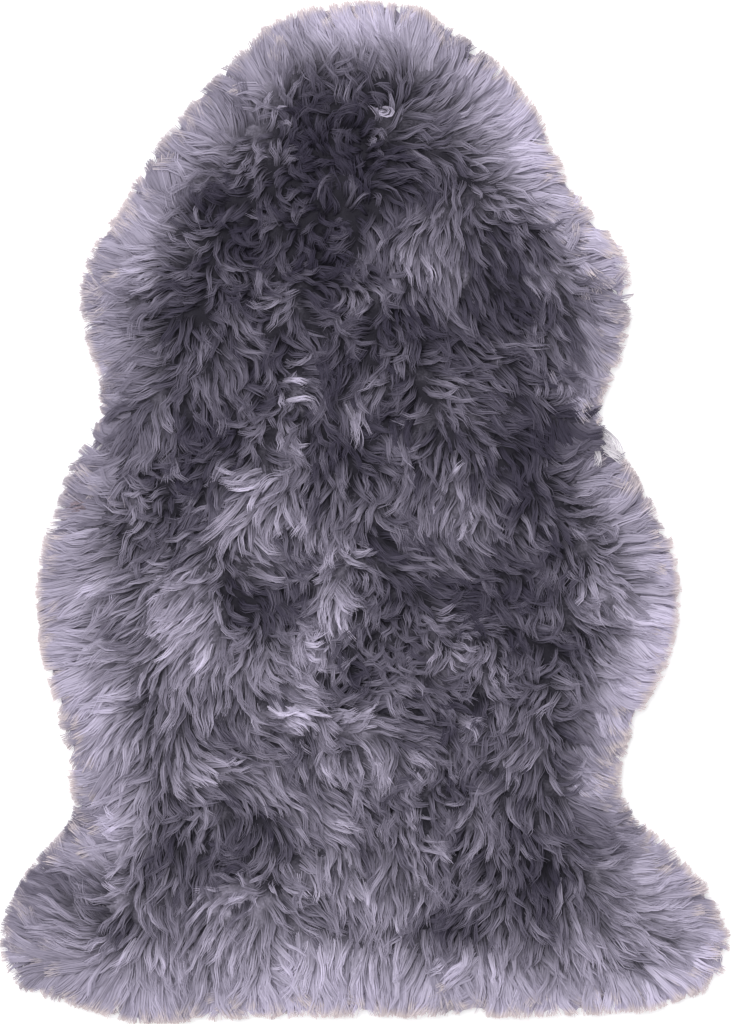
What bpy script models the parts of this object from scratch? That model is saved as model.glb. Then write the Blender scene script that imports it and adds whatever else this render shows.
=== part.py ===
"""A long-wool sheepskin rug: one whole tanned pelt lying wool side up on the floor.

Metres, +Z up. The origin is on the floor under the middle of the rug's own box, +Y runs towards the head
and +X to the right of somebody who looks down with the head away from them. The solid is the pelt as far
as its wool reaches: flat underneath, rolled over at the rim and gently uneven on top.
"""

import math
from collections import namedtuple

import bmesh
import bpy
from mathutils import Vector
from mathutils.geometry import delaunay_2d_cdt

MM = 0.001

# Driving dimensions
RUG_LENGTH = 0.950  # head to rump, over the tips of the wool
WOOL_HEIGHT = 0.047  # floor to the top of the standing wool, away from the rim
RIM_HEIGHT = 0.009  # the blunt edge of wool that falls to the floor
ROLL_WIDTH = 0.088  # how far in from the rim the wool reaches its full height
GRID_STEP = 0.0155  # spacing of the points that carry the top
GRID_INSETS = (0.005, 0.013, 0.024, 0.038)  # rings that follow the rim, measured in from it
OUTLINE_STEPS = 3  # straight stretches between two points of the outline
RING_SLACK = 0.9  # a ring's point is left out once its inset is less than this share of the full one
SAME_POINT = 1e-6  # points nearer to each other than this are one
INSIDE_ONLY = 1  # the kind of triangulation that fills the outline and nothing outside it
CREASE_ANGLE = math.radians(50)  # edges that turn more than this stay sharp in the shading

WOOL_COLOUR = (0.235, 0.222, 0.275, 1.0)  # dyed grey with a trace of violet
WOOL_ROUGHNESS = 0.85

# The pelt's reach on each side of the spine, in millimetres, at each station down from the head.
Section = namedtuple("Section", "down left right")
SECTIONS = (
    Section(0, 28, 40),
    Section(15, 83, 69),
    Section(39, 110, 103),
    Section(72, 143, 139),
    Section(109, 175, 164),
    Section(151, 207, 183),
    Section(188, 226, 206),
    Section(221, 250, 234),
    Section(246, 262, 243),  # shoulders
    Section(278, 264, 245),
    Section(312, 260, 241),
    Section(346, 248, 231),
    Section(370, 246, 219),  # waist behind the front legs
    Section(394, 252, 221),
    Section(427, 273, 245),
    Section(468, 287, 268),
    Section(511, 302, 288),
    Section(557, 305, 291),  # belly
    Section(608, 301, 282),
    Section(650, 289, 260),
    Section(693, 279, 242),
    Section(728, 274, 237),  # flanks in front of the hind legs
    Section(753, 272, 248),
    Section(786, 298, 284),
    Section(823, 325, 317),
    Section(860, 338, 336),  # hind legs
    Section(889, 337, 337),
    Section(912, 322, 320),
)
# The rump's edge, from the left leg to the right, in millimetres from the spine and down from the head.
EdgePoint = namedtuple("EdgePoint", "across down")
RUMP_EDGE = (
    EdgePoint(-288, 925),
    EdgePoint(-248, 938),
    EdgePoint(-205, 948),
    EdgePoint(-155, 944),
    EdgePoint(-60, 941),
    EdgePoint(60, 941),
    EdgePoint(170, 940),
    EdgePoint(240, 937),
    EdgePoint(287, 929),
)

# Where the wool swells or parts, in millimetres: from the spine, down from the head, reach and rise.
Swell = namedtuple("Swell", "across down reach rise")
SWELLS = (
    Swell(5, 130, 60, -5),  # the hollow on the head
    Swell(135, 245, 55, -5),
    Swell(45, 255, 60, 4),
    Swell(-150, 200, 45, -4),
    Swell(-125, 330, 60, 3),
    Swell(205, 372, 40, -6),  # the dart behind the right front leg
    Swell(-190, 430, 55, -6),
    Swell(-60, 450, 45, 5),
    Swell(60, 440, 60, 3),
    Swell(175, 520, 50, -5),
    Swell(-35, 575, 50, 5),
    Swell(-170, 590, 60, 4),
    Swell(95, 600, 50, -4),
    Swell(-45, 700, 45, 5),
    Swell(60, 705, 55, -4),
    Swell(-230, 720, 40, -4),
    Swell(-130, 800, 55, -5),
    Swell(150, 790, 60, -4),
    Swell(-250, 850, 50, -5),
    Swell(-40, 870, 60, 3),
    Swell(240, 860, 55, 3),
)


def clear_scene():
    for obj in list(bpy.data.objects):
        bpy.data.objects.remove(obj)


def outline_knots():
    """The outline's points in millimetres, clockwise from the left of the head, with +Y up the pelt."""
    left_side = [(-s.left, -s.down) for s in reversed(SECTIONS)]
    right_side = [(s.right, -s.down) for s in SECTIONS]
    rump = [(p.across, -p.down) for p in reversed(RUMP_EDGE)]
    return left_side + right_side + rump


def smooth_outline():
    """Points along one closed curve through the outline's knots, as a Bezier curve lays it, in metres."""
    curve = bpy.data.curves.new("outline_guide", "CURVE")
    curve.dimensions = "2D"
    curve.resolution_u = OUTLINE_STEPS
    knots = outline_knots()
    spline = curve.splines.new("BEZIER")
    spline.bezier_points.add(len(knots) - 1)
    spline.use_cyclic_u = True
    for point, (across, up) in zip(spline.bezier_points, knots):
        point.co = (across * MM, up * MM, 0)
        point.handle_left_type = point.handle_right_type = "AUTO"
    guide = bpy.data.objects.new("outline_guide", curve)
    bpy.context.collection.objects.link(guide)
    bpy.context.view_layer.update()
    points = [v.co.to_2d() for v in guide.to_mesh().vertices]
    guide.to_mesh_clear()
    bpy.data.objects.remove(guide)
    return points


def box_of(points):
    low = Vector((min(p.x for p in points), min(p.y for p in points)))
    high = Vector((max(p.x for p in points), max(p.y for p in points)))
    return low, high


def fitted(points, low, high):
    """The points moved to the middle of their box and scaled to the rug's length."""
    middle = (low + high) / 2
    scale = RUG_LENGTH / (high.y - low.y)
    return [(p - middle) * scale for p in points]


def from_segment(point, start, end):
    along = end - start
    share = max(0.0, min(1.0, (point - start).dot(along) / along.length_squared))
    return (point - start - along * share).length


def inset_of(point, outline):
    """How far a point lies in from the outline."""
    return min(from_segment(point, a, b) for a, b in zip(outline, outline[1:] + outline[:1]))


def is_inside(point, outline):
    inside = False
    for a, b in zip(outline, outline[1:] + outline[:1]):
        if (a.y > point.y) != (b.y > point.y):
            crossing = a.x + (point.y - a.y) * (b.x - a.x) / (b.y - a.y)
            inside ^= point.x < crossing
    return inside


def ring_inside(outline, inset):
    """The outline moved inwards along the bisector at each of its points."""
    ring = []
    for before, here, after in zip(outline[-1:] + outline[:-1], outline, outline[1:] + outline[:1]):
        along = (after - before).normalized()
        ring.append(here + Vector((along.y, -along.x)) * inset)
    return [p for p in ring if inset_of(p, outline) > RING_SLACK * inset]


def field_points(outline):
    """A triangular grid over the part inside the last ring."""
    row_step = GRID_STEP * math.sqrt(3) / 2
    low, high = box_of(outline)
    points = []
    for row in range(math.ceil((high.y - low.y) / row_step)):
        shift = GRID_STEP / 2 * (row % 2)
        for column in range(math.ceil((high.x - low.x) / GRID_STEP)):
            point = low + Vector((column * GRID_STEP + shift, row * row_step))
            if is_inside(point, outline) and inset_of(point, outline) > GRID_INSETS[-1] + GRID_STEP / 2:
                points.append(point)
    return points


def rolled_height(inset):
    """The rim's roll: a quarter of an ellipse from the blunt edge up to the standing wool."""
    left = 1 - min(inset / ROLL_WIDTH, 1)
    return RIM_HEIGHT + (WOOL_HEIGHT - RIM_HEIGHT) * math.sqrt(1 - left**2)


def swell_height(point, to_millimetres):
    """The rises and partings that reach this point, in metres."""
    across, down = to_millimetres(point)
    total = 0.0
    for swell in SWELLS:
        away = math.hypot(across - swell.across, down - swell.down) / swell.reach
        total += swell.rise * math.exp(-(away**2))
    return total * MM


def pelt_mesh():
    """One closed mesh: the wool's uneven top, the blunt rim and the flat underside."""
    knots = smooth_outline()
    low, high = box_of(knots)
    outline = fitted(knots, low, high)

    def to_millimetres(point):
        """Back from the fitted frame to the tables' own: across the spine, and down from the head."""
        own = point * (high.y - low.y) / RUG_LENGTH + (low + high) / 2
        return own.x / MM, -own.y / MM

    rings = [p for inset in GRID_INSETS for p in ring_inside(outline, inset)]
    edges = [(i, (i + 1) % len(outline)) for i in range(len(outline))]
    points = outline + rings + field_points(outline)
    flat, _, faces, *_ = delaunay_2d_cdt(points, edges, [], INSIDE_ONLY, SAME_POINT)

    mesh = bmesh.new()
    top = []
    for point in flat:
        inset = inset_of(point, outline)
        roll = rolled_height(inset)
        swell = swell_height(point, to_millimetres) * min(inset / ROLL_WIDTH, 1)
        top.append(mesh.verts.new((point.x, point.y, roll + swell)))
    sheet = [mesh.faces.new([top[i] for i in face]) for face in faces]
    bmesh.ops.recalc_face_normals(mesh, faces=sheet)
    if sum(face.normal.z for face in sheet) < 0:
        bmesh.ops.reverse_faces(mesh, faces=sheet)
    rim = [edge for edge in mesh.edges if edge.is_boundary]
    wall = bmesh.ops.extrude_edge_only(mesh, edges=rim)["geom"]
    for vert in [g for g in wall if isinstance(g, bmesh.types.BMVert)]:
        vert.co.z = 0.0
    lowest = [edge for edge in mesh.edges if edge.is_boundary]
    bmesh.ops.contextual_create(mesh, geom=lowest)
    bmesh.ops.recalc_face_normals(mesh, faces=mesh.faces)
    data = bpy.data.meshes.new("sheepskin")
    mesh.to_mesh(data)
    mesh.free()
    return data


def wool_material():
    material = bpy.data.materials.new("grey_wool")
    material.use_nodes = True
    shader = material.node_tree.nodes["Principled BSDF"]
    shader.inputs["Base Color"].default_value = WOOL_COLOUR
    shader.inputs["Roughness"].default_value = WOOL_ROUGHNESS
    shader.inputs["Metallic"].default_value = 0.0
    return material


def make_sheepskin():
    data = pelt_mesh()
    data.materials.append(wool_material())
    data.shade_smooth()
    data.set_sharp_from_angle(angle=CREASE_ANGLE)
    pelt = bpy.data.objects.new("sheepskin", data)
    bpy.context.collection.objects.link(pelt)
    return pelt


clear_scene()
make_sheepskin()
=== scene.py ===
import math

import bmesh
import bpy
import numpy as np
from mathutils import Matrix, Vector, noise
from mathutils.geometry import delaunay_2d_cdt


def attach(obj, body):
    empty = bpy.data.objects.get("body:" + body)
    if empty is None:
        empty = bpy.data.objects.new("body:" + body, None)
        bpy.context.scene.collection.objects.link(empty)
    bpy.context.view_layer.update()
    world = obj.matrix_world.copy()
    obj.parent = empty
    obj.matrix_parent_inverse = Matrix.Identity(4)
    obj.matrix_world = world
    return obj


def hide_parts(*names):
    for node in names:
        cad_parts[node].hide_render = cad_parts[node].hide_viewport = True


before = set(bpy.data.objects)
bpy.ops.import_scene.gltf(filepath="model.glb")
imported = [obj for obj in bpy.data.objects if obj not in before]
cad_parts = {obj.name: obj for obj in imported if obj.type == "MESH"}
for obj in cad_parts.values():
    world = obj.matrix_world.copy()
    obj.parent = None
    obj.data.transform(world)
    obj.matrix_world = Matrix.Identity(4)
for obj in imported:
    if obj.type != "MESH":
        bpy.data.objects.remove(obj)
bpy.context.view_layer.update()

# --- The hide -----------------------------------------------------------------------------------------
# The tanned skin that carries the wool: one piece of supple suede, cut to the animal's own outline and
# dyed together with its wool. It lies flat on the floor, flesh side down, and the wool hides its edge.

MM = 0.001
HIDE_THICKNESS = 2.2 * MM
HIDE_INSET = 36 * MM  # from the tips of the wool at the rim in to the cut edge
HIDE_STEP = 11 * MM
UNDERSIDE = 0.5 * MM  # what is lower than this belongs to the solid's flat underside
SAME_PLACE = 0.001 * MM
UNFOLDED = 0.97  # the share of an inset that a point keeps where the drawn-in edge doesn't fold
CREASE = math.radians(50)
SUEDE_DARK, SUEDE_PALE = (0.15, 0.135, 0.16, 1), (0.32, 0.295, 0.335, 1)


def wool_outline():
    """The rug's outline on the floor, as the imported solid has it: one closed loop of points."""
    mesh = bmesh.new()
    mesh.from_mesh(bpy.data.objects["sheepskin"].data)
    bmesh.ops.remove_doubles(mesh, verts=mesh.verts, dist=SAME_PLACE)
    upper = [v for v in mesh.verts if v.co.z > UNDERSIDE]
    bmesh.ops.delete(mesh, geom=upper, context="VERTS")
    edges = [e for e in mesh.edges if len(e.link_faces) == 1]
    onward = {}
    for edge in edges:
        a, b = edge.verts
        onward.setdefault(a, []).append(b)
        onward.setdefault(b, []).append(a)
    start = edges[0].verts[0]
    loop, before, here = [], None, start
    while not loop or here is not start:
        loop.append(here.co.to_2d())
        before, here = here, next(v for v in onward[here] if v is not before)
    mesh.free()
    points = np.array(loop)
    return points if area_within(points) > 0 else points[::-1]


def area_within(loop):
    """The area inside a closed loop, below nought where the loop runs clockwise."""
    onward = np.roll(loop, -1, axis=0)
    return np.sum(loop[:, 0] * onward[:, 1] - onward[:, 0] * loop[:, 1]) / 2


def nearest_on(outline, points):
    """For each point, the nearest place on the outline and how far away it is."""
    run = np.roll(outline, -1, axis=0) - outline
    share = np.einsum("psk,sk->ps", points[:, None] - outline, run) / (run**2).sum(1)
    places = outline + np.clip(share, 0, 1)[..., None] * run
    away = np.linalg.norm(points[:, None] - places, axis=2)
    best = away.argmin(1)
    rows = np.arange(len(points))
    return places[rows, best], away[rows, best]


def inside(outline, points):
    """Whether each point is inside the outline, by how often a line to its right crosses it."""
    x, y = points[:, 0, None], points[:, 1, None]
    ax, ay = outline.T
    bx, by = np.roll(outline, -1, axis=0).T
    spans = (ay > y) != (by > y)
    crossing = ax + (y - ay) * (bx - ax) / np.where(by == ay, 1, by - ay)
    return (spans & (x < crossing)).sum(1) % 2 == 1


def unit(arrows):
    return arrows / np.maximum(np.linalg.norm(arrows, axis=1), 1e-6)[:, None]


def to_the_left(arrows):
    return np.stack([-arrows[:, 1], arrows[:, 0]], 1)


def drawn_in(outline, inset):
    """The outline moved inwards, without the points that the move would fold over each other."""
    along = unit(np.roll(outline, -1, axis=0) - np.roll(outline, 1, axis=0))
    ring = outline + to_the_left(along) * inset
    ring = ring[(nearest_on(outline, ring)[1] > UNFOLDED * inset) & inside(outline, ring)]
    for _ in range(3):
        ring = (np.roll(ring, 1, axis=0) + 2 * ring + np.roll(ring, -1, axis=0)) / 4
    return ring


def flat_patch(edge, step, margin):
    """Triangles over a closed edge: points a step apart inside it, no nearer to it than the margin."""
    low, high = edge.min(0), edge.max(0)
    rows = enumerate(np.arange(low[1], high[1], step * math.sqrt(3) / 2))
    field = [(x + step / 2 * (i % 2), y) for i, y in rows for x in np.arange(low[0], high[0], step)]
    field = np.array(field)
    field = field[inside(edge, field)]
    field = field[nearest_on(edge, field)[1] > margin]
    count = len(edge)
    places = [Vector(p) for p in np.concatenate([edge, field])]
    edges = [(i, (i + 1) % count) for i in range(count)]
    places, _, faces, *_ = delaunay_2d_cdt(places, edges, [], 1, SAME_PLACE)
    return np.array([p.to_tuple() for p in places]), faces


def into_scene(name, data):
    thing = bpy.data.objects.new(name, data)
    bpy.context.collection.objects.link(thing)
    return thing


def closed_slab(name, edge_count, upper, lower):
    """A closed piece of two patches that share an edge, each given as places, faces and heights."""
    mesh = bmesh.new()
    sheets = []
    for (places, faces, heights), up in ((upper, True), (lower, False)):
        verts = [mesh.verts.new((x, y, z)) for (x, y), z in zip(places, heights)]
        for face in faces:
            a, b, c = (Vector(places[i]) for i in face[:3])
            turned = ((b - a).cross(c - a) > 0) != up
            mesh.faces.new([verts[i] for i in (reversed(face) if turned else face)])
        sheets.append(verts)
    over, under = sheets
    for i in range(edge_count):
        j = (i + 1) % edge_count
        mesh.faces.new([over[j], over[i], under[i], under[j]])
    data = bpy.data.meshes.new(name)
    mesh.to_mesh(data)
    mesh.free()
    data.shade_smooth()
    data.set_sharp_from_angle(angle=CREASE)
    return into_scene(name, data)


def socket_of(sockets, key):
    """A node's socket that is in use, by its number or its name."""
    in_use = [s for s in sockets if s.enabled]
    return in_use[key] if isinstance(key, int) else next(s for s in in_use if s.name == key)


class Flow:
    """A number, an arrow or a mesh on its way through a tree of nodes. Arithmetic puts down its node."""

    def __init__(self, bench, socket):
        self.bench = bench
        self.socket = socket

    def __add__(self, other):
        return self.bench.maths("ADD", self, other)

    def __mul__(self, other):
        return self.bench.maths("MULTIPLY", self, other)

    def __sub__(self, other):
        return self.bench.maths("SUBTRACT", self, other)

    def __rsub__(self, other):
        return self.bench.maths("SUBTRACT", other, self)

    def __truediv__(self, other):
        return self.bench.maths("DIVIDE", self, other)

    def __rtruediv__(self, other):
        return self.bench.maths("DIVIDE", other, self)

    def __pow__(self, other):
        return self.bench.maths("POWER", self, other)

    __radd__ = __add__
    __rmul__ = __mul__


def is_arrow(value):
    return isinstance(value, tuple) or (isinstance(value, Flow) and value.socket.type == "VECTOR")


class Bench:
    """Puts nodes into one tree and joins them."""

    def __init__(self, tree):
        self.tree = tree

    def node(self, kind, feeds=None, **settings):
        node = self.tree.nodes.new(kind)
        for name, value in settings.items():
            setattr(node, name, value)
        for key, value in (feeds or {}).items():
            self.feed(node, key, value)
        return node

    def feed(self, node, key, value):
        target = socket_of(node.inputs, key)
        if isinstance(value, Flow):
            self.tree.links.new(value.socket, target)
        else:
            target.default_value = value

    def put(self, kind, feeds=None, out=0, **settings):
        """Puts down a node and hands on its first output in use, or the one that is named."""
        return Flow(self, socket_of(self.node(kind, feeds, **settings).outputs, out))

    def handed_in(self):
        """What the tree is given, by name."""
        return {s.name: Flow(self, s) for s in self.node("NodeGroupInput").outputs if s.name}

    def maths(self, operation, *values):
        arrows = sum(is_arrow(v) for v in values)
        if operation == "MULTIPLY" and arrows == 1:
            operation = "SCALE"
            values = sorted(values, key=is_arrow, reverse=True)
        kind = "ShaderNodeVectorMath" if arrows else "ShaderNodeMath"
        return self.put(kind, dict(enumerate(values)), operation=operation)

    def parts(self, arrow):
        """An arrow's three parts."""
        return [Flow(self, s) for s in self.node("ShaderNodeSeparateXYZ", {0: arrow}).outputs]

    def joined(self, *parts):
        return self.put("ShaderNodeCombineXYZ", dict(enumerate(parts)))

    def mix(self, share, first, second):
        """A colour between two others."""
        feeds = {"Factor": share, "A": first, "B": second}
        return self.put("ShaderNodeMix", feeds, data_type="RGBA")


def new_material(name, roughness):
    """A material with a plain Principled BSDF, and the bench for the nodes that feed it."""
    material = bpy.data.materials.new(name)
    material.use_nodes = True
    shader = material.node_tree.nodes["Principled BSDF"]
    shader.inputs["Roughness"].default_value = roughness
    return material, Bench(material.node_tree), shader


def suede_material():
    """Split leather's short nap: cloudy in tone, pitted and faintly grained."""
    material, bench, shader = new_material("dyed_suede", 0.92)
    place = bench.put("ShaderNodeTexCoord", out="Object")
    cloud = bench.put("ShaderNodeTexNoise", {"Vector": place, "Scale": 14.0, "Detail": 5.0})
    nap = bench.put("ShaderNodeTexNoise", {"Vector": place, "Scale": 900.0, "Detail": 3.0})
    grain = bench.put("ShaderNodeTexVoronoi", {"Vector": place, "Scale": 260.0})
    ramp = bench.node("ShaderNodeValToRGB", {"Fac": nap * 0.35 + cloud})
    dark, pale = ramp.color_ramp.elements
    dark.position, dark.color = 0.45, SUEDE_DARK
    pale.position, pale.color = 0.95, SUEDE_PALE
    bench.feed(shader, "Base Color", Flow(bench, ramp.outputs["Color"]))
    feeds = {"Height": grain * 0.5 + nap, "Strength": 0.35, "Distance": 0.4 * MM}
    bench.feed(shader, "Normal", bench.put("ShaderNodeBump", feeds))
    shader.inputs["Sheen Weight"].default_value = 0.25
    return material


outline = wool_outline()
hide_edge = drawn_in(outline, HIDE_INSET)
hide_places, hide_faces = flat_patch(hide_edge, HIDE_STEP, HIDE_STEP / 2)
hide = closed_slab(
    "hide",
    len(hide_edge),
    (hide_places, hide_faces, [HIDE_THICKNESS] * len(hide_places)),
    (hide_places, hide_faces, [0.0] * len(hide_places)),
)
hide.data.materials.append(suede_material())
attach(hide, "root")

# --- The undercoat ------------------------------------------------------------------------------------
# The dense, shaded lower half of the fleece, where the wool stands so close that nothing is seen between
# the hairs. The locks above grow out of it, lie as it does and leave it visible only in the dark gaps.

UNDERCOAT_INSET = 15 * MM
UNDERCOAT_RIM = 7 * MM  # height at its outer edge
UNDERCOAT_HEIGHT = 30 * MM
UNDERCOAT_ROLL = 80 * MM  # how far in it reaches its full height
UNDERCOAT_STEP = 5.5 * MM
TUFT_RELIEF = 6 * MM
SHADED_DARK = (0.012, 0.010, 0.018, 1)
PALE_WOOL = (0.70, 0.64, 0.82, 1)
MIDDLE_GREY = 0.35  # the share of the pale colour at tone 0, where tones hold painted shade and sheen as well as the wool's own tone
TONE_STEP = 0.28  # and how much a tone of 1 adds
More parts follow.
